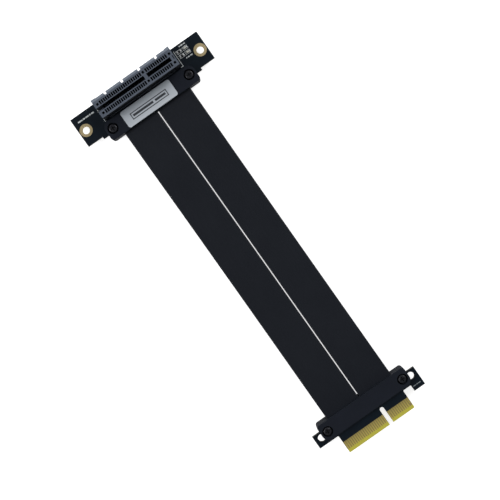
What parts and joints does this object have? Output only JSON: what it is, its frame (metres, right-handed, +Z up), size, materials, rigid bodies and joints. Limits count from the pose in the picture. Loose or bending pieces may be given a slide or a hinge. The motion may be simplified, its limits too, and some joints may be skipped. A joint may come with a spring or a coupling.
{
  "type": "pcie extension cable",
  "caption": "Flat-ribbon extension cable for a four-lane card slot: card-edge plug at one end, card slot on a small bolt-down board at the other.",
  "frame": {"origin": "bottom centre of the object's box, measured without the free ribbons, on the surface that it lies on", "axes": "+Z up, away from the surface; +Y from the card-edge plug to the card slot; +X across, towards the short end of the card slot"},
  "size_m": [0.0654, 0.1862, 0.0158],
  "materials": {
    "board_laminate": "glass-epoxy board with a black solder mask",
    "ring_plating": "gold-plated copper",
    "housing_plastic": "moulded glass-filled plastic, grey-blue",
    "contact_plating": "plated spring bronze",
    "solder": "bright tin",
    "cover_plastic": "moulded black plastic, fine grain",
    "screw_steel": "black-plated steel",
    "nut_brass": "turned brass",
    "label_metal": "satin silver film",
    "led_resin": "clear resin",
    "resistor_ceramic": "glazed ceramic chip with tinned caps",
    "ribbon_jacket": "black film jacket, matte",
    "finger_gold": "hard gold on copper"
  },
  "bodies": {
    "root": {"slot_board": "board_laminate", "slot_bolt_hole_plating": "ring_plating", "slot_housing": "housing_plastic", "slot_contacts_near": "contact_plating", "slot_contacts_far": "contact_plating", "slot_solder_joints": "solder", "slot_cover_top": "cover_plastic", "slot_cover_bottom": "cover_plastic", "slot_cover_screws": "screw_steel", "slot_cover_nuts": "nut_brass", "slot_label_plate": "label_metal", "slot_board_pads": "ring_plating", "slot_end_wires_upper": "solder", "slot_end_wires_lower": "solder", "indicator_leds": "led_resin", "indicator_resistors": "resistor_ceramic", "ribbon_upper_left": "ribbon_jacket", "ribbon_upper_right": "ribbon_jacket", "ribbon_lower_left": "ribbon_jacket", "ribbon_lower_right": "ribbon_jacket", "plug_board": "board_laminate", "plug_fingers_top": "finger_gold", "plug_fingers_bottom": "finger_gold", "plug_cover_top": "cover_plastic", "plug_cover_bottom": "cover_plastic", "plug_cover_screws": "screw_steel", "plug_cover_nuts": "nut_brass", "plug_board_pads": "ring_plating", "plug_end_wires_upper": "solder", "plug_end_wires_lower": "solder"}
  },
  "joints": []
}
